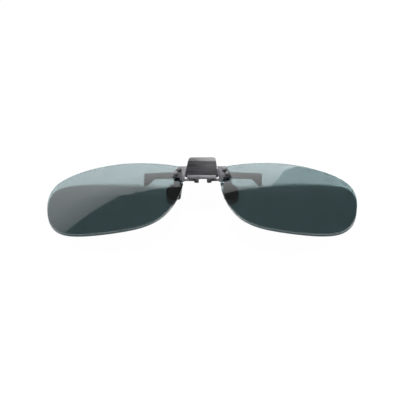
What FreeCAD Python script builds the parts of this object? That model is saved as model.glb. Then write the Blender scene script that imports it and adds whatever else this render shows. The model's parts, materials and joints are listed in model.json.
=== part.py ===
import FreeCAD, Part
import math
import os

# Flip-up clip-on sunglasses: two tinted lenses hinged on a small sprung clip.
#
# The object lies on its back.  +X runs along its length, +Y is the wearer's up,
# and +Z is the direction that the lenses face.  All lengths are in millimetres.
#
# Inside this file a place is given in the clip's own coordinates: x = 0 is the middle,
# z = 0 is the front of the lenses, and y = 0 lies just above the box's lower edge.
# ORIGIN_Y and ORIGIN_Z move everything to the stored origin, under the middle of the object.

# Driving dimensions. "low" and "back" values are distances on the negative side.
SIZES = [
    # lenses
    ("lens_radius", 125.0, "front curve of a lens"),
    ("lens_thick", 1.8, "lens thickness"),
    ("lens_reach", 63.6, "middle of the clip to a lens's outer end"),
    ("lens_low", 28.5, "lowest point of a lens"),
    ("vertex_x", 20.7, "where a lens faces straight forward"),
    ("vertex_low", 12.0, "the same, below y = 0"),
    # box
    ("box_half", 6.75, "half width of the cover at its foot"),
    ("box_top_half", 5.3, "half width of the cover at its top"),
    ("box_low", 1.9, "foot of the cover"),
    ("face_high", 5.2, "top of the flat front face"),
    ("box_high", 8.7, "top of the cover"),
    ("box_front", 2.5, "front face of the cover"),
    ("slope_drop", 1.6, "how far the sloping top falls back"),
    ("box_back", 4.0, "rear edge of the cover"),
    ("cover_wall", 0.6, "cover wall"),
    # housing inside the cover
    ("cheek_in", 3.9, "middle to a cheek's inner face"),
    ("cheek_thick", 0.7, "cheek and web thickness"),
    ("cheek_lobe", 1.15, "radius of a cheek round the clamp pin"),
    # hinge pins
    ("flip_y", 5.0, "flip pin height"),
    ("flip_back", 3.0, "flip pin behind the lens front"),
    ("flip_pin_r", 0.7, "flip pin radius"),
    ("clamp_y", 5.9, "clamp pin height"),
    ("clamp_back", 7.2, "clamp pin behind the lens front"),
    ("clamp_pin_r", 0.55, "clamp pin radius"),
    ("running_gap", 0.05, "radial clearance of a pin that turns"),
    # side plates that carry the lenses
    ("ear_in", 7.05, "middle to an ear's inner face"),
    ("ear_thick", 0.55, "ear thickness"),
    ("plate_front", 0.35, "front face of a side plate"),
    ("plate_thick", 0.8, "side plate thickness"),
    ("stud_r", 0.5, "stud shank radius"),
    ("stud_head_r", 0.98, "stud head radius"),
    ("stud_head", 0.8, "stud head height"),
    ("bush_r", 0.8, "bush radius in the lens hole"),
    ("flange_r", 1.15, "bush flange and nut radius"),
    # front arms and their pads
    ("arm_front", 8.7, "front face of the arms, behind the lens front"),
    ("arm_thick", 0.6, "arm thickness"),
    ("arm_reach", 24.4, "middle to an arm's outer end"),
    ("arm_high", 9.0, "upper edge of an arm at the housing"),
    ("arm_low", 6.9, "lower edge of an arm at the housing"),
    ("tip_high", 6.0, "top of the rubber on an arm's bent tip"),
    ("tip_wall", 0.4, "rubber over the front and back of a tip"),
    # rear legs and pinch lever
    ("leg_front", 7.9, "front face of the rear legs, behind the lens front"),
    ("leg_thick", 0.6, "leg and lever thickness"),
    ("sleeve_wall", 0.6, "rubber over the front and back of a foot"),
    ("lever_half", 3.6, "half width of the pinch lever"),
    ("lever_high", 11.0, "top of the pinch lever"),
    ("depth_back", 9.7, "rearmost face, which the clip lies on"),
]

ORIGIN_Y = "(Sizes.lens_low - Sizes.lever_high) / 2"
ORIGIN_Z = "Sizes.depth_back"
SIDES = (("left", -1), ("right", 1))

# Where the two studs of a side go: distance from the middle, height.
STUDS = ((9.4, 2.4), (10.6, 0.1))

# Where the rivet of a front arm goes on a cheek, and that of a rear leg on the lever.
ARM_RIVET = (5.4, -5.0)
ARM_RIVET_R = 0.45
LEG_RIVET = (2.5, 3.95)
LEG_RIVET_R = 0.35

doc = FreeCAD.newDocument("ClipOnSunglasses")
sheet = doc.addObject("Spreadsheet::Sheet", "Sizes")
nodes = []


def fill_sheet():
    for row, (alias, number, meaning) in enumerate(SIZES, start=1):
        sheet.set(f"A{row}", meaning)
        sheet.set(f"B{row}", str(number))
        sheet.setAlias(f"B{row}", alias)
    doc.recompute()


def size(alias):
    return float(sheet.get(alias))


# ---------------------------------------------------------------- sketches and features


def plane(body, role):
    return next(item for item in body.Origin.OriginFeatures if item.Role == role)


def unit(start, end):
    step = end - start
    return step / step.Length


def rounded_loop(corners):
    """Lines and tangent arcs round a closed polygon of (u, v, corner radius)."""
    points = [FreeCAD.Vector(u, v, 0) for u, v, _ in corners]
    entries = []
    for index, (_, _, radius) in enumerate(corners):
        here = points[index]
        back = unit(here, points[index - 1])
        onward = unit(here, points[(index + 1) % len(points)])
        half = back.getAngle(onward) / 2
        reach = radius / math.tan(half) if radius else 0
        depth = radius / math.sin(half) - radius
        middle = here + (back + onward).normalize() * depth
        entries.append((here + back * reach, middle, here + onward * reach))
    edges = []
    for index, (first, middle, last) in enumerate(entries):
        if corners[index][2]:
            edges.append(Part.Arc(first, middle, last))
        following = entries[(index + 1) % len(entries)][0]
        if (following - last).Length > 1e-6:
            edges.append(Part.LineSegment(last, following))
    return edges


def circle(u, v, radius):
    return [Part.Circle(FreeCAD.Vector(u, v, 0), FreeCAD.Vector(0, 0, 1), radius)]


def sketch(body, role, offset, loops):
    """A sketch parallel to one of the body's base planes, offset along the plane's normal."""
    made = body.newObject("Sketcher::SketchObject", f"{body.Name}_outline")
    made.AttachmentSupport = [(plane(body, role), "")]
    made.MapMode = "FlatFace"
    made.setExpression("AttachmentOffset.Base.z", offset)
    for loop in loops:
        made.addGeometry(loop, False)
    return made


def add(body, role, offset, length, loops):
    """Pad material from the offset along the plane's normal."""
    pad = body.newObject("PartDesign::Pad", f"{body.Name}_pad")
    pad.Profile = sketch(body, role, offset, loops)
    pad.setExpression("Length", length)
    doc.recompute()
    return pad


def cut(body, role, offset, length, loops):
    """Remove material from the offset along the plane's normal."""
    before = body.Shape.Volume
    pocket = body.newObject("PartDesign::Pocket", f"{body.Name}_pocket")
    pocket.Profile = sketch(body, role, offset, loops)
    pocket.Reversed = True
    pocket.setExpression("Length", length)
    doc.recompute()
    if body.Shape.Volume >= before - 1e-6:
        raise RuntimeError(f"{pocket.Name} removes nothing")
    return pocket


def new_body(label):
    body = doc.addObject("PartDesign::Body", label)
    body.Label = label
    return body


def keep(thing, label):
    """Name a finished sub-part and move it to the stored origin."""
    thing.Label = label
    thing.setExpression("Placement.Base.y", ORIGIN_Y)
    thing.setExpression("Placement.Base.z", ORIGIN_Z)
    nodes.append(thing)
    return thing


def cylinder(axis, start, radius, length):
    """A Part::Cylinder along X or Z; start, radius and length are expressions of the sheet."""
    made = doc.addObject("Part::Cylinder", "rod")
    turn = FreeCAD.Rotation(FreeCAD.Vector(0, 1, 0), 90) if axis == "X" else FreeCAD.Rotation()
    made.Placement = FreeCAD.Placement(FreeCAD.Vector(), turn)
    for letter, expression in zip("xyz", start):
        made.setExpression(f"Placement.Base.{letter}", expression)
    made.setExpression("Radius", radius)
    made.setExpression("Height", length)
    return made


def fuse(pieces):
    made = doc.addObject("Part::MultiFuse", "joined")
    made.Shapes = pieces
    return made


def minus(base, tool):
    made = doc.addObject("Part::Cut", "trimmed")
    made.Base = base
    made.Tool = tool
    return made


def group(pieces):
    made = doc.addObject("Part::Compound", "set")
    made.Links = pieces
    return made


def mirrored(sign, corners):
    return [(sign * u, v, radius) for u, v, radius in corners]


def side_offset(sign, inner, thick):
    """Expression for the lower X face of a plate that stands on one side of the middle."""
    return inner if sign > 0 else f"-({inner}) - ({thick})"


def cover_half(y):
    """Half width of the tapered box cover at a height."""
    share = (y + size("box_low")) / (size("box_high") + size("box_low"))
    return size("box_half") + (size("box_top_half") - size("box_half")) * share


def make_rubber(label, outline, back, length, metal):
    """Rubber moulded round the end of a metal part; back and length are expressions."""
    body = new_body(f"{label}_block")
    add(body, "XY_Plane", back, length, [rounded_loop(outline)])
    core = doc.addObject("Part::Feature", f"{label}_core")
    shape = metal.Shape.copy()
    shape.Placement = FreeCAD.Placement()
    core.Shape = shape
    keep(minus(body, core), label)


# ---------------------------------------------------------------- lens carrier


def lens_outline(sign):
    """Rounded, slightly drooping lens shape, as one smooth closed curve."""
    points = [
        (7.75, 2.5), (8.65, 5.4), (12.0, 6.5), (20.0, 7.4), (29.0, 7.85), (38.0, 7.5),
        (47.1, 6.1), (55.2, 3.7), (60.5, 0.3), (63.1, -4.6), (size("lens_reach"), -11.5),
        (62.0, -19.3), (57.4, -25.0), (50.9, -27.6), (42.0, -size("lens_low")),
        (32.1, -28.0), (23.1, -26.0), (16.1, -21.8), (11.6, -15.7), (8.9, -9.2), (7.7, -3.5),
    ]
    curve = Part.BSplineCurve()
    curve.interpolate(
        Points=[FreeCAD.Vector(sign * u, v, 0) for u, v in points], PeriodicFlag=True
    )
    return curve


def lens_ball(sign, radius):
    """Ball whose front forms one face of a lens; its poles point up and down, clear of the lens."""
    ball = doc.addObject("Part::Sphere", "ball")
    ball.Placement = FreeCAD.Placement(
        FreeCAD.Vector(), FreeCAD.Rotation(FreeCAD.Vector(1, 0, 0), 90)
    )
    ball.setExpression("Radius", radius)
    ball.setExpression("Placement.Base.x", f"{sign} * Sizes.vertex_x")
    ball.setExpression("Placement.Base.y", "-Sizes.vertex_low")
    ball.setExpression("Placement.Base.z", "-Sizes.lens_radius")
    return ball


def make_lens(side, sign):
    outline = doc.addObject("Sketcher::SketchObject", f"{side}_lens_outline")
    outline.setExpression("Placement.Base.z", "-2 * Sizes.depth_back")
    outline.addGeometry(lens_outline(sign), False)
    block = doc.addObject("Part::Extrusion", f"{side}_lens_block")
    block.Base = outline
    block.Dir = FreeCAD.Vector(0, 0, 1)
    block.Solid = True
    block.setExpression("LengthFwd", "3 * Sizes.depth_back")
    shell = minus(
        lens_ball(sign, "Sizes.lens_radius"),
        lens_ball(sign, "Sizes.lens_radius - Sizes.lens_thick"),
    )
    blank = doc.addObject("Part::Common", f"{side}_lens_blank")
    blank.Base = block
    blank.Tool = shell
    holes = []
    for u, v in STUDS:
        start = (str(sign * u), str(v), "-2 * Sizes.depth_back")
        holes.append(cylinder("Z", start, "Sizes.bush_r", "3 * Sizes.depth_back"))
    return minus(blank, group(holes))


def make_lens_fasteners(side, sign, lens):
    """Studs through the plate and lens, black bushes round them, and nuts behind."""
    studs, bushes, nuts = [], [], []
    shank_back, nut_back, neck_back = (f"-Sizes.lens_thick - {behind}" for behind in (2.2, 2.0, 1.5))
    plate_back = "Sizes.plate_front - Sizes.plate_thick"
    for u, v in STUDS:
        x, y = str(sign * u), str(v)
        shank_length = f"Sizes.plate_front - ({shank_back}) + 0.1"
        shank = cylinder("Z", (x, y, shank_back), "Sizes.stud_r", shank_length)
        head = cylinder("Z", (x, y, "Sizes.plate_front"), "Sizes.stud_head_r", "Sizes.stud_head")
        studs.append(fuse([shank, head]))
        flange_length = f"{plate_back} + Sizes.lens_thick"
        flange = cylinder("Z", (x, y, "-Sizes.lens_thick"), "Sizes.flange_r", flange_length)
        neck = cylinder("Z", (x, y, neck_back), "Sizes.bush_r", "1.6")
        bore_start = (x, y, "-3 * Sizes.lens_thick")
        bore = cylinder("Z", bore_start, "Sizes.stud_r", "4 * Sizes.lens_thick")
        bush = minus(minus(fuse([flange, neck]), bore), lens)
        bushes.append(bush)
        nut = cylinder("Z", (x, y, nut_back), "Sizes.flange_r", "1.6")
        nuts.append(minus(minus(minus(nut, lens), bore), bush))
    finished = doc.addObject("Part::Refine", f"{side}_lens")
    finished.Source = lens
    keep(finished, f"{side}_lens")
    keep(group(studs), f"{side}_lens_studs")
    keep(group(bushes), f"{side}_lens_bushes")
    keep(group(nuts), f"{side}_lens_nuts")


def make_side_plate(side, sign):
    """Flat plate in front of the lens, with an ear bent back to the flip pin."""
    body = new_body(f"{side}_side_plate")
    high, inner = 4.3, size("ear_in")
    beside_cover = cover_half(high) + 0.35
    outline = mirrored(sign, [
        (beside_cover, high, 0.2), (9.8, high, 0.9), (12.0, 0.3, 0.8), (11.2, -1.6, 0.6),
        (8.9, -1.7, 0.5), (8.7, -3.6, 0.3), (inner, -3.6, 0.3), (inner, -size("box_low"), 0),
    ])
    holes = [circle(sign * u, v, size("stud_r")) for u, v in STUDS]
    back = "Sizes.plate_front - Sizes.plate_thick"
    add(body, "XY_Plane", back, "Sizes.plate_thick", [rounded_loop(outline)] + holes)
    lobe = 1.15
    y, z = size("flip_y"), -size("flip_back")
    ear = rounded_loop([
        (0.8, size("plate_front"), 0), (4.2, size("plate_front"), 0), (y + lobe, z + 0.8, 0.4),
        (y + lobe, z - lobe, lobe - 0.02), (y - lobe, z - lobe, lobe - 0.02), (0.8, -0.45, 0.4),
    ])
    offset = side_offset(sign, "Sizes.ear_in", "Sizes.ear_thick")
    add(body, "YZ_Plane", offset, "Sizes.ear_thick", [ear])
    cut(body, "YZ_Plane", offset, "Sizes.ear_thick", [circle(y, z, size("flip_pin_r"))])
    keep(body, f"{side}_side_plate")


def make_pin(label, half, y, z, radius):
    """Plain pin along X, centred on the middle; half is an expression of the sheet."""
    body = new_body(label)
    add(body, "YZ_Plane", f"-({half})", f"2 * ({half})", [circle(y, z, radius)])
    keep(body, label)


def make_flip_pin():
    half = "Sizes.ear_in + Sizes.ear_thick"
    make_pin("flip_pin", half, size("flip_y"), -size("flip_back"), size("flip_pin_r"))


def make_detent_cam():
    """Square block on the flip pin; its flats hold the lenses down or up."""
    body = new_body("detent_cam")
    y, z, flat, corner = size("flip_y"), -size("flip_back"), 1.25, 0.45
    square = rounded_loop([
        (y - flat, z - flat, corner), (y + flat, z - flat, corner),
        (y + flat, z + flat, corner), (y - flat, z + flat, corner),
    ])
    add(body, "YZ_Plane", "-1.8", "3.6", [square, circle(y, z, size("flip_pin_r"))])
    keep(body, "detent_cam")


# ---------------------------------------------------------------- clip body


def make_cover():
    """Tapered box cover with a sloping top, open at the back and at the foot."""
    body = new_body("box_cover")
    low, high, wall = -size("box_low"), size("box_high"), size("cover_wall")

    def tapered(bottom, top, margin, low_radius, high_radius):
        """Outline of the cover between two heights, drawn in by a margin."""
        foot, head = cover_half(bottom) - margin, cover_half(top) - margin
        return rounded_loop([
            (-foot, bottom, low_radius), (foot, bottom, low_radius),
            (head, top, high_radius), (-head, top, high_radius),
        ])

    outer = tapered(low, high, 0, 0.5, 1.5)
    add(body, "XY_Plane", "-Sizes.box_back", "Sizes.box_back + Sizes.box_front", [outer])
    front, face = size("box_front"), size("face_high")
    fall = size("slope_drop") / (high - face)
    above = high + 1
    wedge = rounded_loop([
        (face, front, 0), (above, front - fall * (above - face), 0),
        (above, front + 1, 0), (face, front + 1, 0),
    ])
    cut(body, "YZ_Plane", "-Sizes.box_half", "2 * Sizes.box_half", [wedge])
    well = tapered(low - 1, face, wall, 0, 0.3)
    well_depth = "Sizes.box_back + Sizes.box_front - Sizes.cover_wall"
    cut(body, "XY_Plane", "-Sizes.box_back", well_depth, [well])
    crown = high - wall
    loft = tapered(face - 1, crown, wall, 0, 0.9)
    cut(body, "XY_Plane", "-Sizes.box_back", "Sizes.box_back", [loft])
    inside, start, lap = front - wall, face - 0.3, -0.1
    under_slope = rounded_loop([
        (start, lap, 0), (crown, lap, 0), (crown, inside - fall * (crown - start), 0), (start, inside, 0),
    ])
    reach = cover_half(crown) - wall
    cut(body, "YZ_Plane", f"-{reach}", f"2 * {reach}", [under_slope])
    hole = circle(size("flip_y"), -size("flip_back"), size("flip_pin_r") + 0.25)
    cut(body, "YZ_Plane", "-Sizes.box_half", "2 * Sizes.box_half", [hole])
    behind = -size("box_back") - 1
    swept = rounded_loop([
        (low - 1, 0.4, 0), (low, 0.4, 0), (3.0, behind + 1, 0), (3.0, behind, 0), (low - 1, behind, 0),
    ])
    cut(body, "YZ_Plane", "-Sizes.box_half", "2 * Sizes.box_half", [swept])
    keep(body, "box_cover")


def make_housing():
    """Folded steel frame: two cheeks that carry both pins, a web, a foot strip and a rear tie."""
    body = new_body("housing")
    inner, thick = size("cheek_in"), size("cheek_thick")
    outer = inner + thick
    inside = size("box_front") - size("cover_wall")
    foot, web_high = -1.2, 4.8
    web = rounded_loop([(-outer, foot, 0), (outer, foot, 0), (outer, web_high, 0), (-outer, web_high, 0)])
    web_back = "Sizes.box_front - Sizes.cover_wall - Sizes.cheek_thick"
    add(body, "XY_Plane", web_back, "Sizes.cheek_thick", [web])
    low, half = -size("box_low"), 6.0
    strip = rounded_loop([(-half, low, 0.2), (half, low, 0.2), (half, foot, 0), (-half, foot, 0)])
    add(body, "XY_Plane", "-0.6", "2.5", [strip])
    y, z, lobe = size("clamp_y"), -size("clamp_back"), size("cheek_lobe")
    cheek = [
        (foot, inside, 0), (foot, 0.6, 0.3), (y - lobe, z + 0.6, 0.5), (y - lobe, z - lobe, lobe - 0.02),
        (y + lobe, z - lobe, lobe - 0.02), (7.6, -5.5, 0.6), (7.6, 0.3, 0.4), (web_high, inside, 0),
    ]
    fy, fz = size("flip_y"), -size("flip_back")
    gap = size("running_gap")
    for _, sign in SIDES:
        offset = side_offset(sign, "Sizes.cheek_in", "Sizes.cheek_thick")
        loops = [
            rounded_loop(cheek),
            circle(y, z, size("clamp_pin_r")),
            circle(fy, fz, size("flip_pin_r") + gap),
            circle(*ARM_RIVET, ARM_RIVET_R),
        ]
        add(body, "YZ_Plane", offset, "Sizes.cheek_thick", loops)
    tie = rounded_loop([(7.0, -6.05, 0), (7.6, -6.05, 0), (7.6, -5.45, 0), (7.0, -5.45, 0)])
    add(body, "YZ_Plane", "-Sizes.cheek_in - 0.2", "2 * Sizes.cheek_in + 0.4", [tie])
    keep(body, "housing")


def make_front_arm(side, sign):
    """Arm behind the lens with a bent-down tip, and the strap that rivets it to the cheek."""
    body = new_body(f"{side}_front_arm")
    inner = size("cheek_in") + size("cheek_thick")
    reach, high, low, tip = size("arm_reach"), size("arm_high"), size("arm_low"), size("tip_high")
    arm = mirrored(sign, [
        (inner, high, 0), (8.5, high, 0), (reach, 8.2, 0.5), (reach, tip, 0), (24.0, tip, 0),
        (24.0, 3.6, 0.3), (23.3, 3.6, 0.2), (21.2, tip, 0), (20.69, tip, 0), (20.2, 6.6, 1.2),
        (8.0, low, 0), (inner, low, 0),
    ])
    add(body, "XY_Plane", "-Sizes.arm_front - Sizes.arm_thick", "Sizes.arm_thick", [rounded_loop(arm)])
    y, z, lobe = size("clamp_y"), -size("clamp_back"), 1.1
    back = -size("arm_front") - size("arm_thick")
    strap = rounded_loop([
        (4.3, -4.3, 0.3), (7.4, -4.3, 0.3), (high, -6.5, 0.5), (high, back, 0), (low, back, 0),
        (low, z - lobe, 0), (y - lobe, z - lobe, lobe - 0.02), (4.1, -6.5, 0.2),
    ])
    offset = side_offset(sign, str(inner), "Sizes.arm_thick")
    add(body, "YZ_Plane", offset, "Sizes.arm_thick", [strap])
    holes = [circle(y, z, size("clamp_pin_r")), circle(*ARM_RIVET, ARM_RIVET_R)]
    cut(body, "YZ_Plane", offset, "Sizes.arm_thick", holes)
    return keep(body, f"{side}_front_arm")


def make_front_tip(side, sign, arm):
    """Rubber over an arm's bent tip, where it meets the front of the spectacles."""
    reach, high = size("arm_reach"), size("tip_high")
    outline = mirrored(sign, [
        (20.69, high, 0.15), (reach, high, 0.15), (reach, 3.15, 0.5), (23.1, 3.15, 0.3),
    ])
    back = "-Sizes.arm_front - Sizes.arm_thick - Sizes.tip_wall"
    length = "Sizes.arm_thick + 2 * Sizes.tip_wall"
    make_rubber(f"{side}_front_tip", outline, back, length, arm)


def make_arm_rivets():
    rivets = []
    inner = "Sizes.cheek_in"
    grip = "(Sizes.cheek_thick + Sizes.arm_thick)"
    for _, sign in SIDES:
        start = inner if sign > 0 else f"-{inner} - {grip}"
        at = [str(part) for part in ARM_RIVET]
        shank = cylinder("X", (f"{start} - 0.3", *at), str(ARM_RIVET_R), f"{grip} + 0.6")
        heads = [
            cylinder("X", (f"{start} - 0.35", *at), "0.75", "0.35"),
            cylinder("X", (f"{start} + {grip}", *at), "0.75", "0.35"),
        ]
        rivets.append(fuse([shank] + heads))
    keep(group(rivets), "arm_rivets")


def make_clamp_pin():
    half = "Sizes.cheek_in + Sizes.cheek_thick + Sizes.arm_thick"
    make_pin("clamp_pin", half, size("clamp_y"), -size("clamp_back"), size("clamp_pin_r"))


def make_clamp_spring():
    """Torsion spring round the clamp pin: a close-wound coil and two legs that push apart."""
    y, z = size("clamp_y"), -size("clamp_back")
    wire, outer, half = 0.19, 1.08, 1.2
    along = FreeCAD.Vector(1, 0, 0)
    coil = Part.makeCylinder(outer, 2 * half, FreeCAD.Vector(-half, y, z), along)
    coil = coil.cut(Part.makeCylinder(outer - 0.45, 2 * half, FreeCAD.Vector(-half, y, z), along))
    mean = outer - 0.225
    inset = half - 0.3
    front = Part.makeCylinder(wire, 2.6, FreeCAD.Vector(inset, y, z + mean), FreeCAD.Vector(0, 1, 0))
    rear_start = FreeCAD.Vector(-inset, y, z - mean)
    rear_end = FreeCAD.Vector(-inset, y + 3.2, -size("leg_front") - size("leg_thick") + wire + 0.05)
    run = rear_end - rear_start
    rear = Part.makeCylinder(wire, run.Length, rear_start, run)
    spring = doc.addObject("Part::Feature", "clamp_spring")
    spring.Shape = coil.fuse([front, rear]).removeSplitter()
    keep(spring, "clamp_spring")


def make_detent_spring():
    """U-shaped leaf between the housing's web and the cam."""
    body = new_body("detent_spring")
    front = size("box_front") - size("cover_wall") - size("cheek_thick")
    bend, leaf = front, 0.3
    top = 6.0 + bend
    loop = rounded_loop([
        (0.3, front, 0), (top, front, bend - 0.01), (top, -bend, bend - 0.01), (3.0, -bend, 0),
        (3.0, leaf - bend, 0), (top - leaf, leaf - bend, bend - leaf - 0.01),
        (top - leaf, front - leaf, bend - leaf - 0.01), (0.3, front - leaf, 0),
    ])
    add(body, "YZ_Plane", "-1.6", "3.2", [loop])
    keep(body, "detent_spring")


# ---------------------------------------------------------------- rear jaw


def leg_corners():
    """Rear leg: a wing towards the middle with a tab, a straight shank and a flared foot."""
    return [
        (1.7, 4.6, 0.2), (12.1, 4.6, 0.4), (12.0, 1.8, 1.0), (14.2, -1.5, 0.8), (14.3, -3.1, 1.0),
        (13.0, -5.2, 0.8), (9.4, -5.2, 0.7), (8.9, -1.0, 1.0), (8.9, 3.7, 0.5), (3.4, 3.7, 0.2),
        (3.4, 3.3, 0.2), (1.7, 3.3, 0.2),
    ]


def make_rear_leg(side, sign):
    body = new_body(f"{side}_rear_leg")
    u, v = LEG_RIVET
    loops = [rounded_loop(mirrored(sign, leg_corners())), circle(sign * u, v, LEG_RIVET_R)]
    add(body, "XY_Plane", "-Sizes.leg_front - Sizes.leg_thick", "Sizes.leg_thick", loops)
    return keep(body, f"{side}_rear_leg")


def make_rear_sleeve(side, sign, leg):
    """Black rubber sleeve over a foot, open at the top."""
    outline = mirrored(sign, [
        (8.4, 0.9, 0.5), (12.9, 0.9, 0.7), (14.9, -1.6, 0.9), (14.9, -3.6, 1.0),
        (13.6, -5.8, 0.9), (9.0, -5.8, 0.9),
    ])
    back = "-Sizes.leg_front - Sizes.leg_thick - Sizes.sleeve_wall"
    length = "Sizes.leg_thick + 2 * Sizes.sleeve_wall"
    make_rubber(f"{side}_rear_sleeve", outline, back, length, leg)


def make_pinch_lever():
    """Lever behind the box: ears round the clamp pin and a tongue that the thumb presses."""
    body = new_body("pinch_lever")
    half, high = size("lever_half"), size("lever_high")
    web = rounded_loop([
        (-half, 3.3, 0.3), (-1.7, 3.3, 0.3), (-1.7, 6.3, 0.5), (1.7, 6.3, 0.5), (1.7, 3.3, 0.3),
        (half, 3.3, 0.3), (half, high, 0.9), (-half, high, 0.9),
    ])
    u, v = LEG_RIVET
    holes = [circle(sign * u, v, LEG_RIVET_R) for _, sign in SIDES]
    back = "-Sizes.leg_front - 2 * Sizes.leg_thick"
    add(body, "XY_Plane", back, "Sizes.leg_thick", [web] + holes)
    y, z, lobe = size("clamp_y"), -size("clamp_back"), 1.15
    face = -size("leg_front") - size("leg_thick")
    root = face - size("leg_thick") / 2
    ear = [
        (y - lobe, root, 0), (y - lobe, z + lobe, lobe - 0.02),
        (y + lobe, z + lobe, lobe - 0.02), (8.4, root, 0),
    ]
    for _, sign in SIDES:
        offset = side_offset(sign, "2.75", "Sizes.leg_thick")
        pin = circle(y, z, size("clamp_pin_r") + size("running_gap"))
        add(body, "YZ_Plane", offset, "Sizes.leg_thick", [rounded_loop(ear), pin])
    keep(body, "pinch_lever")


def make_leg_rivets():
    rivets = []
    grip = "2 * Sizes.leg_thick"
    u, v = LEG_RIVET
    for _, sign in SIDES:
        at = (str(sign * u), str(v))
        start = f"-Sizes.leg_front - {grip}"
        shank = cylinder("Z", (*at, f"{start} - 0.2"), str(LEG_RIVET_R), f"{grip} + 0.4")
        heads = [
            cylinder("Z", (*at, f"{start} - 0.25"), "0.6", "0.25"),
            cylinder("Z", (*at, f"{start} + {grip}"), "0.6", "0.25"),
        ]
        rivets.append(fuse([shank] + heads))
    keep(group(rivets), "leg_rivets")


def make_thumb_pad():
    """Grip pad on the back of the lever; the clip lies on it."""
    body = new_body("thumb_pad")
    half, high = size("lever_half") - 0.3, size("lever_high") - 0.3
    pad = rounded_loop([(-half, 6.6, 0.8), (half, 6.6, 0.8), (half, high, 0.8), (-half, high, 0.8)])
    lever_back = "Sizes.leg_front - 2 * Sizes.leg_thick"
    add(body, "XY_Plane", "-Sizes.depth_back", f"Sizes.depth_back - {lever_back}", [pad])
    keep(body, "thumb_pad")


# ---------------------------------------------------------------- checks and output


def check_document():
    doc.recompute()
    for item in doc.Objects:
        if {"Invalid", "Error"} & set(item.State):
            raise RuntimeError(f"{item.Label} is {item.State}")
    for node in nodes:
        shape = node.Shape
        if shape.isNull() or not shape.isValid() or not shape.Solids:
            raise RuntimeError(f"{node.Label} has no valid solid")


def write_parts():
    os.makedirs("parts", exist_ok=True)
    for node in nodes:
        node.Shape.exportStep(f"parts/{node.Label}.step")
        box = node.Shape.BoundBox
        low = [round(value, 2) for value in (box.XMin, box.YMin, box.ZMin)]
        high = [round(value, 2) for value in (box.XMax, box.YMax, box.ZMax)]
        print(f"{node.Label:22s} {len(node.Shape.Solids)} solid(s), {node.Shape.Volume:.2f} mm3, {low} {high}")


def main():
    fill_sheet()
    for side, sign in SIDES:
        lens = make_lens(side, sign)
        make_lens_fasteners(side, sign, lens)
        make_side_plate(side, sign)
        arm = make_front_arm(side, sign)
        leg = make_rear_leg(side, sign)
        doc.recompute()
        make_front_tip(side, sign, arm)
        make_rear_sleeve(side, sign, leg)
    make_flip_pin()
    make_detent_cam()
    make_cover()
    make_housing()
    make_arm_rivets()
    make_clamp_pin()
    make_clamp_spring()
    make_detent_spring()
    make_pinch_lever()
    make_leg_rivets()
    make_thumb_pad()
    check_document()
    write_parts()


main()
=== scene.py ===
import json
import math

import bmesh
import bpy
from mathutils import Matrix, Vector, geometry


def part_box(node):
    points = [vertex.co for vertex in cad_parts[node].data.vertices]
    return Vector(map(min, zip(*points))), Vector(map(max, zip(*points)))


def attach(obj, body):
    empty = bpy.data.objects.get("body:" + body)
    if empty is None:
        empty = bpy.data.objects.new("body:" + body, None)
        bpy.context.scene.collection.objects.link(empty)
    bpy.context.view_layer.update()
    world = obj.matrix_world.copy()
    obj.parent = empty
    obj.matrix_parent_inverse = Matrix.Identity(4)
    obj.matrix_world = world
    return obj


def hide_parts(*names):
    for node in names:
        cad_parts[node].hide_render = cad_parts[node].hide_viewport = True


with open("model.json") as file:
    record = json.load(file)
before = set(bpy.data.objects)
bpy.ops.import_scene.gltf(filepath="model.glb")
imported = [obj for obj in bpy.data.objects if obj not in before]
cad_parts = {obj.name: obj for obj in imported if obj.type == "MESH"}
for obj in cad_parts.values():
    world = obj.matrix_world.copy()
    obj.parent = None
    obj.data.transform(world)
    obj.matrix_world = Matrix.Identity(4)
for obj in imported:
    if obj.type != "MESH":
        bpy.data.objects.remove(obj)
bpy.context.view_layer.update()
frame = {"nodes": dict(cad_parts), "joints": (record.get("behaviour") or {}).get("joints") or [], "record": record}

# The clip-on lies on its back: +X along its length, +Y the wearer's up, +Z the way the lenses face.
MM = 0.001
SIDES = (("left", -1), ("right", 1))
NODES = frame["nodes"]
BODIES = frame["record"]["behaviour"]["bodies"]
SLOT_OF = {name: node.data.materials[0].name for name, node in NODES.items()}


def low(node):
    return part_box(node)[0]


def high(node):
    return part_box(node)[1]


def joint_at(name):
    return Vector(next(joint for joint in frame["joints"] if joint["name"] == name)["pos_m"])


# ---------------------------------------------------------------- meshes


def shown_mesh(bm, name):
    """Turn a bmesh into a smooth-shaded mesh and free it."""
    bmesh.ops.recalc_face_normals(bm, faces=bm.faces)
    for face in bm.faces:
        face.smooth = True
    mesh = bpy.data.meshes.new(name)
    bm.to_mesh(mesh)
    bm.free()
    return mesh


def with_modifiers(mesh, settings):
    """The mesh after a list of (modifier type, values) has run on it."""
    carrier = bpy.data.objects.new("carrier", mesh)
    bpy.context.scene.collection.objects.link(carrier)
    for kind, values in settings:
        modifier = carrier.modifiers.new(kind.lower(), kind)
        for key, value in values.items():
            setattr(modifier, key, value)
    view = bpy.context.evaluated_depsgraph_get()
    made = bpy.data.meshes.new_from_object(carrier.evaluated_get(view))
    bpy.data.objects.remove(carrier)
    return made


def rounded_edges(mesh, width, angle):
    """Round every edge sharper than the angle, and keep the flats flat."""
    bevel = {
        "width": width, "segments": 3, "limit_method": "ANGLE", "angle_limit": math.radians(angle),
        "harden_normals": True, "miter_outer": "MITER_ARC", "use_clamp_overlap": True,
    }
    return with_modifiers(mesh, [("BEVEL", bevel)])


def welded(node):
    """The CAD node's shape as clean faces: split corners joined and flat areas made whole."""
    bm = bmesh.new()
    bm.from_mesh(NODES[node].data)
    bmesh.ops.remove_doubles(bm, verts=bm.verts, dist=1e-6)
    bmesh.ops.dissolve_limit(bm, angle_limit=math.radians(0.5), verts=bm.verts, edges=bm.edges)
    return bm


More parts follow.
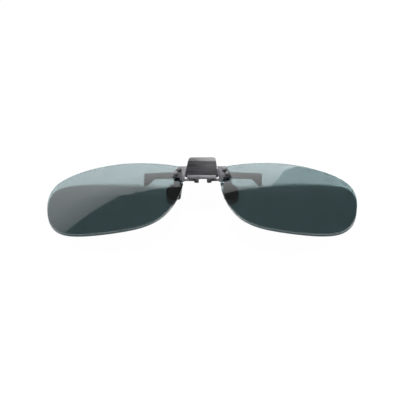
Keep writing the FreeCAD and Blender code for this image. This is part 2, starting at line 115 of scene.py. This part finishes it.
def softened(node, width, angle=35):
    """The CAD node's shape with rounded edges."""
    return rounded_edges(shown_mesh(welded(node), node), width, angle)


def show(node, mesh):
    """Put a mesh in the place of a CAD node, with its finish and on its body."""
    piece = bpy.data.objects.new(f"{node}_shape", mesh)
    bpy.context.scene.collection.objects.link(piece)
    mesh.materials.clear()
    mesh.materials.append(look_of(node))
    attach(piece, next(body for body, members in BODIES.items() if node in members))
    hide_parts(node)
    return piece


def lathe(bm, profile, centre, sides):
    """Closed solid turned about Z; the profile runs from the axis round to the axis as (radius, height)."""
    rings = []
    for radius, height in profile:
        count = 1 if radius == 0 else sides
        ring = []
        for step in range(count):
            angle = 2 * math.pi * step / sides
            point = Vector((radius * math.cos(angle), radius * math.sin(angle), height))
            ring.append(bm.verts.new(centre + point))
        rings.append(ring)
    for near, far in zip(rings, rings[1:]):
        for step in range(sides):
            after = (step + 1) % sides
            corners = [near[step % len(near)], near[after % len(near)]]
            corners += [far[after % len(far)], far[step % len(far)]]
            bm.faces.new(list(dict.fromkeys(corners)))


def tube(bm, path, radius, sides=14):
    """Closed round wire along a list of points."""
    frames = []
    side = None
    for index, point in enumerate(path):
        ahead = path[min(index + 1, len(path) - 1)] - path[max(index - 1, 0)]
        ahead.normalize()
        if side is None:
            side = ahead.orthogonal().normalized()
        side = (side - ahead * side.dot(ahead)).normalized()
        frames.append((point, side, ahead.cross(side)))
    rings = []
    for point, across, up in frames:
        ring = []
        for step in range(sides):
            angle = 2 * math.pi * step / sides
            ring.append(bm.verts.new(point + radius * (math.cos(angle) * across + math.sin(angle) * up)))
        rings.append(ring)
    for near, far in zip(rings, rings[1:]):
        for step in range(sides):
            after = (step + 1) % sides
            bm.faces.new((near[step], near[after], far[after], far[step]))
    bm.faces.new(rings[0][::-1])
    bm.faces.new(rings[-1])


# ---------------------------------------------------------------- shader building

# Most of a noise lies between these values.
NOISE_LOW, NOISE_HIGH = 0.3, 0.7


def shader(name):
    """A new material and its empty node tree."""
    material = bpy.data.materials.new(name)
    material.use_nodes = True
    material.node_tree.nodes.clear()
    return material, material.node_tree


def with_surface(material, surface):
    """The material, with the surface as its output."""
    tree = material.node_tree
    output = tree.nodes.new("ShaderNodeOutputMaterial")
    tree.links.new(surface.outputs[0], output.inputs["Surface"])
    return material


def feed(tree, socket, value):
    """Give a socket a number or colour, or link it to another node's output."""
    if isinstance(value, bpy.types.NodeSocket):
        tree.links.new(value, socket)
    else:
        socket.default_value = value


def add(tree, kind, settings=None, **inputs):
    node = tree.nodes.new(kind)
    for key, value in (settings or {}).items():
        setattr(node, key, value)
    for key, value in inputs.items():
        feed(tree, node.inputs[key.replace("_", " ")], value)
    return node


def maths(tree, operation, *values):
    """The result of a Math node on two or three values."""
    node = add(tree, "ShaderNodeMath", {"operation": operation})
    for socket, value in zip(node.inputs, values):
        feed(tree, socket, value)
    return node.outputs[0]


def blend(tree, share, first, second):
    """The first shader, with the share of it replaced by the second."""
    node = add(tree, "ShaderNodeMixShader", Fac=share)
    tree.links.new(first.outputs[0], node.inputs[1])
    tree.links.new(second.outputs[0], node.inputs[2])
    return node


def stretched_noise(tree, stretch, scale, detail=4.0):
    """Noise drawn out along one axis; the stretch is a share of the scale on each axis."""
    place = add(tree, "ShaderNodeTexCoord")
    mapping = add(tree, "ShaderNodeMapping", Vector=place.outputs["Object"], Scale=stretch)
    noise = add(tree, "ShaderNodeTexNoise", Vector=mapping.outputs["Vector"], Scale=scale, Detail=detail)
    return noise.outputs["Fac"]


def between(tree, factor, from_low, from_high, to_low, to_high):
    """The factor's range from_low to from_high spread over to_low to to_high."""
    spread = {"From_Min": from_low, "From_Max": from_high, "To_Min": to_low, "To_Max": to_high}
    return add(tree, "ShaderNodeMapRange", Value=factor, **spread).outputs["Result"]


def shades(tree, factor, dark, light):
    """A colour from dark to light as the factor rises."""
    ramp = add(tree, "ShaderNodeValToRGB", Fac=factor)
    ramp.color_ramp.elements[0].position = NOISE_LOW
    ramp.color_ramp.elements[1].position = NOISE_HIGH
    ramp.color_ramp.elements[0].color = (*dark, 1)
    ramp.color_ramp.elements[1].color = (*light, 1)
    return ramp.outputs["Color"]


def bump(tree, height, strength, depth):
    return add(tree, "ShaderNodeBump", Height=height, Strength=strength, Distance=depth).outputs["Normal"]


# ---------------------------------------------------------------- looks

# How a noise is stretched: evenly, or drawn out along one axis.
EVEN = (1, 1, 1)
ALONG_X = (0.03, 1, 1)
ALONG_Y = (1, 0.05, 1)
ALONG_Z = (1, 1, 0.1)
GRAIN_DEPTH = 0.02 * MM
SKIN_DEPTH = 0.03 * MM


def brushed_metal(name, dark, light, smooth, rough, stretch, relief):
    """Metal with a fine grain along one axis and a slow change of shade and gloss."""
    material, tree = shader(name)
    grain = stretched_noise(tree, stretch, 5200.0)
    cloud = stretched_noise(tree, EVEN, 420.0, 2.0)
    mixed = maths(tree, "MULTIPLY_ADD", grain, 0.6, maths(tree, "MULTIPLY", cloud, 0.4))
    surface = add(
        tree, "ShaderNodeBsdfPrincipled", Metallic=1.0,
        Base_Color=shades(tree, mixed, dark, light),
        Roughness=between(tree, grain, NOISE_LOW, NOISE_HIGH, smooth, rough),
        Normal=bump(tree, grain, relief, GRAIN_DEPTH),
    )
    return with_surface(material, surface)


def box_paint(name):
    """Charcoal coat over metal that was brushed along its length."""
    material, tree = shader(name)
    grain = stretched_noise(tree, ALONG_X, 3600.0)
    cloud = stretched_noise(tree, EVEN, 500.0, 2.0)
    surface = add(
        tree, "ShaderNodeBsdfPrincipled", Metallic=0.0, IOR=1.5, Specular_IOR_Level=0.24,
        Base_Color=shades(tree, grain, (0.003, 0.003, 0.004), (0.026, 0.025, 0.027)),
        Roughness=between(tree, cloud, NOISE_LOW, NOISE_HIGH, 0.17, 0.22),
        Normal=bump(tree, grain, 0.25, GRAIN_DEPTH),
    )
    return with_surface(material, surface)


def moulded_black(name, shade, smooth, rough, grain_scale, relief):
    """Black rubber or plastic with a fine moulded skin."""
    material, tree = shader(name)
    skin = stretched_noise(tree, EVEN, grain_scale)
    dust = stretched_noise(tree, EVEN, 700.0, 5.0)
    surface = add(
        tree, "ShaderNodeBsdfPrincipled", IOR=1.5,
        Base_Color=shades(tree, dust, shade, tuple(2.2 * part for part in shade)),
        Roughness=between(tree, skin, NOISE_LOW, NOISE_HIGH, smooth, rough),
        Normal=bump(tree, skin, relief, SKIN_DEPTH),
    )
    return with_surface(material, surface)


def tinted_lens(name):
    """Grey-green tint that light crosses twice, once at each face, and a polished outer skin."""
    face_tint = (0.300, 0.356, 0.364)
    material, tree = shader(name)
    smudge = stretched_noise(tree, EVEN, 160.0, 3.0)
    worn_tint = tuple(0.985 * part for part in face_tint)
    tint = add(tree, "ShaderNodeBsdfTransparent", Color=shades(tree, smudge, worn_tint, face_tint))
    polish = between(tree, smudge, 0.35, 0.65, 0.03, 0.06)
    gloss = add(tree, "ShaderNodeBsdfGlossy", Color=(1, 1, 1, 1), Roughness=polish)
    fresnel = add(tree, "ShaderNodeFresnel", IOR=1.5)
    outside = add(tree, "ShaderNodeNewGeometry")
    outer_only = maths(tree, "SUBTRACT", 1.0, outside.outputs["Backfacing"])
    share = maths(tree, "MULTIPLY", fresnel.outputs[0], outer_only)
    return with_surface(material, blend(tree, share, tint, gloss))


def ground_edge(name):
    """The cut rim of a lens: finely ground, half clear."""
    material, tree = shader(name)
    grind = stretched_noise(tree, ALONG_Z, 3000.0)
    surface = add(
        tree, "ShaderNodeBsdfPrincipled", IOR=1.5,
        Base_Color=shades(tree, grind, (0.030, 0.038, 0.040), (0.055, 0.066, 0.068)),
        Roughness=between(tree, grind, NOISE_LOW, NOISE_HIGH, 0.35, 0.55),
        Normal=bump(tree, grind, 0.4, GRAIN_DEPTH),
    )
    clear = add(tree, "ShaderNodeBsdfTransparent", Color=(0.22, 0.26, 0.27, 1))
    return with_surface(material, blend(tree, 0.85, clear, surface))


# Dark and light shade, lowest and highest roughness, direction of the grain, and its relief.
METALS = {
    "gunmetal": ((0.155, 0.155, 0.165), (0.27, 0.27, 0.285), 0.34, 0.48, ALONG_Y, 0.35),
    "bright_steel": ((0.50, 0.49, 0.48), (0.66, 0.65, 0.64), 0.2, 0.34, EVEN, 0.2),
    "dull_steel": ((0.22, 0.22, 0.23), (0.32, 0.32, 0.33), 0.42, 0.55, EVEN, 0.2),
    "spring_steel": ((0.36, 0.36, 0.37), (0.5, 0.5, 0.5), 0.22, 0.34, EVEN, 0.15),
}
# Darkest shade, lowest and highest roughness, scale of the skin, and its relief.
MOULDINGS = {
    "black_rubber": ((0.012, 0.012, 0.013), 0.38, 0.58, 2600.0, 0.5),
    "black_plastic": ((0.012, 0.012, 0.012), 0.28, 0.42, 1800.0, 0.25),
}
LOOKS = {"tinted_lens": tinted_lens("look_tinted_lens"), "box_paint": box_paint("look_box_paint")}
for metal, values in METALS.items():
    LOOKS[metal] = brushed_metal(f"look_{metal}", *values)
for moulding, values in MOULDINGS.items():
    LOOKS[moulding] = moulded_black(f"look_{moulding}", *values)
LENS_EDGE = ground_edge("look_lens_edge")


def look_of(node):
    """Stud heads are duller than the other plain steel parts."""
    return LOOKS["dull_steel" if "studs" in node else SLOT_OF[node]]


# ---------------------------------------------------------------- lenses

LENS_RADIUS = 125.0 * MM
LENS_THICK = 1.8 * MM
LENS_FRONT = high("left_lens").z
# Where a lens faces straight forward: distance from the middle, and height.
LENS_VERTEX = (20.7 * MM, -3.25 * MM)
EDGE_ROUND = 0.15 * MM
# Places of the rings of faces, as shares of the way from a lens's middle line to its rim.
RING_SHARES = [0.0, 0.12, 0.3, 0.5, 0.68, 0.82, 0.92, 0.975]


def lens_loop(node, count=192):
    """Evenly spaced points round the CAD lens, seen from the front."""
    flat = [Vector((vert.co.x, vert.co.y)) for vert in NODES[node].data.vertices]
    hull = [flat[index] for index in geometry.convex_hull_2d(flat)]
    runs = [(hull[(index + 1) % len(hull)] - point).length for index, point in enumerate(hull)]
    step = sum(runs) / count
    points, gone, index = [], 0.0, 0
    for number in range(count):
        target = number * step
        while gone + runs[index] < target:
            gone += runs[index]
            index += 1
        share = (target - gone) / runs[index]
        points.append(hull[index].lerp(hull[(index + 1) % len(hull)], share))
    return points


def lens_height(sign, radius, point):
    """Height of a face of the lens; the faces are balls about one centre."""
    away = Vector((point.x - sign * LENS_VERTEX[0], point.y - LENS_VERTEX[1]))
    return LENS_FRONT - LENS_RADIUS + math.sqrt(radius ** 2 - away.length_squared)


def lens_mesh(node, sign):
    """Rings of faces from the rim to the long middle line, on both faces, and a rounded rim between."""
    rim = lens_loop(node)
    centre_y = (low(node).y + high(node).y) / 2
    reach = (high(node).y - low(node).y) / 2
    first, last = low(node).x + 1.1 * reach, high(node).x - 1.1 * reach
    bm = bmesh.new()

    def core_of(point):
        """The nearest place on the lens's middle line."""
        return Vector((min(max(point.x, first), last), centre_y))

    def ring(share, radius):
        made = []
        for point in rim:
            core = core_of(point)
            edge = point + (core - point).normalized() * EDGE_ROUND
            place = core.lerp(edge, share) if share < 1 else edge
            made.append(bm.verts.new((place.x, place.y, lens_height(sign, radius, place))))
        return made

    def dropped(source, drop, outset):
        made = []
        for vert, point in zip(source, rim):
            outward = (point - core_of(point)).normalized() * outset
            made.append(bm.verts.new((vert.co.x + outward.x, vert.co.y + outward.y, vert.co.z - drop)))
        return made

    front = [ring(share, LENS_RADIUS) for share in RING_SHARES + [1]]
    back = [ring(share, LENS_RADIUS - LENS_THICK) for share in [1] + RING_SHARES[::-1]]
    corner = EDGE_ROUND * (1 - math.sqrt(0.5))
    sides = [
        dropped(front[-1], corner, EDGE_ROUND - corner),
        dropped(front[-1], EDGE_ROUND, EDGE_ROUND),
        dropped(back[0], -EDGE_ROUND, EDGE_ROUND),
        dropped(back[0], -corner, EDGE_ROUND - corner),
    ]
    rings = front + sides + back
    edge_span = range(len(front) - 1, len(front) + len(sides))
    for number, (near, far) in enumerate(zip(rings, rings[1:])):
        for step in range(len(rim)):
            after = (step + 1) % len(rim)
            face = bm.faces.new((near[step], near[after], far[after], far[step]))
            face.material_index = int(number in edge_span)
    bmesh.ops.remove_doubles(bm, verts=front[0] + back[-1], dist=0.01 * MM)
    bmesh.ops.dissolve_degenerate(bm, edges=bm.edges, dist=0.005 * MM)
    return shown_mesh(bm, node)


def build_lens(side, sign):
    node = f"{side}_lens"
    show(node, lens_mesh(node, sign)).data.materials.append(LENS_EDGE)


# ---------------------------------------------------------------- plates, box and small parts

# Width of the rounding on each piece's edges, in millimetres; pieces of both sides share a name.
EDGES = {
    "side_plate": 0.12, "front_arm": 0.14, "rear_leg": 0.12, "housing": 0.08, "pinch_lever": 0.12,
    "box_cover": 0.16, "flip_pin": 0.12, "clamp_pin": 0.1, "detent_cam": 0.12, "detent_spring": 0.06,
    "arm_rivets": 0.12, "leg_rivets": 0.1, "lens_nuts": 0.08, "lens_bushes": 0.06, "front_tip": 0.2,
    "thumb_pad": 0.18,
}


def build_softened():
    """Every piece that keeps its CAD shape, with rounded edges."""
    for piece, width in EDGES.items():
        nodes = [piece] if piece in NODES else [f"{side}_{piece}" for side, sign in SIDES]
        creased = 20 if piece == "box_cover" else 35
        for node in nodes:
            show(node, softened(node, width * MM, angle=creased))


def stud_places(node, sign, head):
    """The upper stud is the one nearer the middle; the heads reach the sides of the node's box."""
    foot, top = low(node), high(node)
    inner, outer = (foot.x, top.x) if sign > 0 else (top.x, foot.x)
    return (inner + sign * head, top.y - head), (outer - sign * head, foot.y + head)


def build_studs(side, sign):
    """Two turned studs: a shank and a domed head with a soft rim."""
    node = f"{side}_lens_studs"
    plate_top = high(f"{side}_side_plate").z
    back, top = low(node).z, high(node).z
    shank, head = 0.5 * MM, 0.98 * MM
    shank_cut, head_cut, rim_round = 0.08 * MM, 0.06 * MM, 0.2 * MM
    rise = top - plate_top
    profile = [(0, back), (shank - shank_cut, back), (shank, back + shank_cut), (shank, plate_top)]
    profile += [(head - head_cut, plate_top), (head, plate_top + head_cut), (head, plate_top + 0.7 * rise)]
    for lift in (25, 50, 75):
        turn = math.radians(lift)
        edge = head - rim_round * (1 - math.cos(turn))
        profile.append((edge, plate_top + rise * (0.7 + 0.2 * math.sin(turn))))
    profile += [(0.6 * head, plate_top + 0.96 * rise), (0.3 * head, plate_top + 0.99 * rise), (0, top)]
    bm = bmesh.new()
    for x, y in stud_places(node, sign, head):
        lathe(bm, profile, Vector((x, y, 0)), sides=48)
    show(node, shown_mesh(bm, node))


def build_sleeve(side, sign):
    """Rubber sleeve with soft edges and two columns of low round pips on its front and back."""
    node = f"{side}_rear_sleeve"
    bm = bmesh.new()
    bm.from_mesh(softened(node, 0.35 * MM))
    foot, top = low(node), high(node)
    pip, sink, rise = 0.62 * MM, 0.35 * MM, 0.22 * MM
    shares = (0.27, 0.66) if sign > 0 else (0.34, 0.73)
    columns = [foot.x + share * (top.x - foot.x) for share in shares]
    rows = [foot.y + share * (top.y - foot.y) for share in (0.2, 0.45, 0.7)]
    for face, outward in ((top.z, 1), (foot.z, -1)):
        for x in columns:
            for y in rows:
                profile = [(0, -sink), (pip, -sink), (pip, -0.3 * rise)]
                profile += [
                    (pip * math.cos(math.radians(lift)), -rise + rise * math.sin(math.radians(lift)))
                    for lift in (30, 55, 75)
                ]
                profile.append((0, 0))
                turned = [(radius, outward * height) for radius, height in profile]
                lathe(bm, turned, Vector((x, y, face)), sides=24)
    show(node, shown_mesh(bm, node))


def build_clamp_spring():
    """Close-wound torsion spring round the clamp pin, with a leg at each end."""
    node = "clamp_spring"
    wire, gap = 0.19 * MM, 0.02 * MM
    turns, steps_a_turn = 4.5, 32
    centre = joint_at("pinch")
    mean = centre.z - low(node).z - wire - gap
    half = high(node).x - 0.3 * MM
    path = [Vector((half, centre.y + 2.4 * MM, centre.z + mean))]
    steps = int(turns * steps_a_turn)
    for step in range(steps + 1):
        angle = 2 * math.pi * turns * step / steps
        x = half - 2 * half * step / steps
        path.append(Vector((x, centre.y - mean * math.sin(angle), centre.z + mean * math.cos(angle))))
    path.append(Vector((-half, centre.y + 2.0 * MM, centre.z - mean * 0.9)))
    bm = bmesh.new()
    tube(bm, path, wire)
    show(node, shown_mesh(bm, node))


# ---------------------------------------------------------------- stage


def plain_white(name):
    """Overexposed table top: near white where it is seen directly, lit and shadowed where it is not."""
    material, tree = shader(name)
    paper = stretched_noise(tree, EVEN, 90.0, 2.0)
    matte = add(
        tree, "ShaderNodeBsdfDiffuse", Color=shades(tree, paper, (0.79, 0.79, 0.79), (0.81, 0.81, 0.81))
    )
    glow = add(tree, "ShaderNodeEmission", Color=(1, 1, 1, 1), Strength=1.0)
    path = add(tree, "ShaderNodeLightPath")
    direct = maths(tree, "LESS_THAN", path.outputs["Transparent Depth"], 0.5)
    seen = maths(tree, "MULTIPLY", direct, path.outputs["Is Camera Ray"])
    return with_surface(material, blend(tree, maths(tree, "MULTIPLY", seen, 0.985), matte, glow))


def add_floor():
    """Flat table top under the glasses."""
    reach = 1.5
    bm = bmesh.new()
    bmesh.ops.create_grid(bm, x_segments=2, y_segments=2, size=reach)
    mesh = shown_mesh(bm, "floor")
    mesh.materials.append(plain_white("look_floor"))
    floor = bpy.data.objects.new("floor", mesh)
    bpy.context.scene.collection.objects.link(floor)


def toward(azimuth, elevation, distance):
    """A point in the direction azimuth degrees right of straight back and elevation degrees up."""
    turn, lift = math.radians(azimuth), math.radians(elevation)
    flat = math.cos(lift)
    return distance * Vector((math.sin(turn) * flat, math.cos(turn) * flat, math.sin(lift)))


def add_key():
    """The main light, high behind the glasses, so that their shadow falls towards the wearer's chin."""
    lamp = bpy.data.lights.new("key", "AREA")
    lamp.size = 0.3
    lamp.energy = 79.0
    key = bpy.data.objects.new("key", lamp)
    key.location = toward(0, 49, 1.5)
    key.rotation_euler = key.location.to_track_quat("Z", "Y").to_euler()
    key.visible_glossy = False
    bpy.context.scene.collection.objects.link(key)


def add_softbox():
    """Wide panel whose edges show as the soft boundaries of the sheen on the lenses."""
    distance = 3.0
    # azimuth and elevation of each corner, in degrees
    corners = [(-60, 43.5), (-19, 46.4), (-8, 46), (6.3, 44), (8.5, 39), (9.5, 34), (17, 25), (-60, 15)]
    bm = bmesh.new()
    bm.faces.new([bm.verts.new(toward(azimuth, elevation, distance)) for azimuth, elevation in corners])
    mesh = shown_mesh(bm, "softbox")
    material, tree = shader("look_softbox")
    place = add(tree, "ShaderNodeTexCoord")
    across = add(tree, "ShaderNodeSeparateXYZ", Vector=place.outputs["Generated"])
    sideways = between(tree, across.outputs["X"], 0.0, 0.9, 0.95, 2.6)
    upwards = between(tree, across.outputs["Z"], 0.6, 0.95, 1.75, 1.0)
    strength = maths(tree, "MULTIPLY", sideways, upwards)
    mesh.materials.append(
        with_surface(material, add(tree, "ShaderNodeEmission", Color=(1, 1, 1, 1), Strength=strength))
    )
    panel = bpy.data.objects.new("softbox", mesh)
    panel.visible_camera = False
    bpy.context.scene.collection.objects.link(panel)


def add_surroundings():
    """White all round near the table and dim above, white where the camera sees it."""
    world = bpy.data.worlds.new("studio")
    bpy.context.scene.world = world
    world.use_nodes = True
    tree = world.node_tree
    tree.nodes.clear()
    place = add(tree, "ShaderNodeTexCoord")
    parts = add(tree, "ShaderNodeSeparateXYZ", Vector=place.outputs["Generated"])
    wall = between(tree, parts.outputs["Z"], 0.08, 0.3, 1.6, 0.25)
    ambient = add(tree, "ShaderNodeBackground", Color=(1, 1, 1, 1), Strength=wall)
    white = add(tree, "ShaderNodeBackground", Color=(1, 1, 1, 1), Strength=1.0)
    path = add(tree, "ShaderNodeLightPath")
    mix = blend(tree, path.outputs["Is Camera Ray"], ambient, white)
    add(tree, "ShaderNodeOutputWorld", Surface=mix.outputs[0])


def add_camera():
    """Long lens over the wearer's chin side, turned and rolled a little."""
    aim = Vector((-0.36 * MM, -4.85 * MM, LENS_FRONT))
    azimuth, elevation, roll = math.radians(4.18), math.radians(49.97), math.radians(-3.28)
    distance = 1.1
    flat = math.cos(elevation)
    away = Vector((math.sin(azimuth) * flat, -math.cos(azimuth) * flat, math.sin(elevation)))
    data = bpy.data.cameras.new("camera")
    data.lens = 243.0
    data.sensor_width = 36.0
    data.clip_start = 0.05
    camera = bpy.data.objects.new("camera", data)
    camera.location = aim + distance * away
    upright = away.to_track_quat("Z", "Y").to_matrix()
    camera.rotation_euler = (upright @ Matrix.Rotation(roll, 3, "Z")).to_euler()
    bpy.context.scene.collection.objects.link(camera)
    bpy.context.scene.camera = camera


for side_name, side_sign in SIDES:
    build_lens(side_name, side_sign)
    build_studs(side_name, side_sign)
    build_sleeve(side_name, side_sign)
build_softened()
build_clamp_spring()
add_floor()
add_key()
add_softbox()
add_surroundings()
add_camera()
bpy.context.scene.view_settings.view_transform = "Standard"
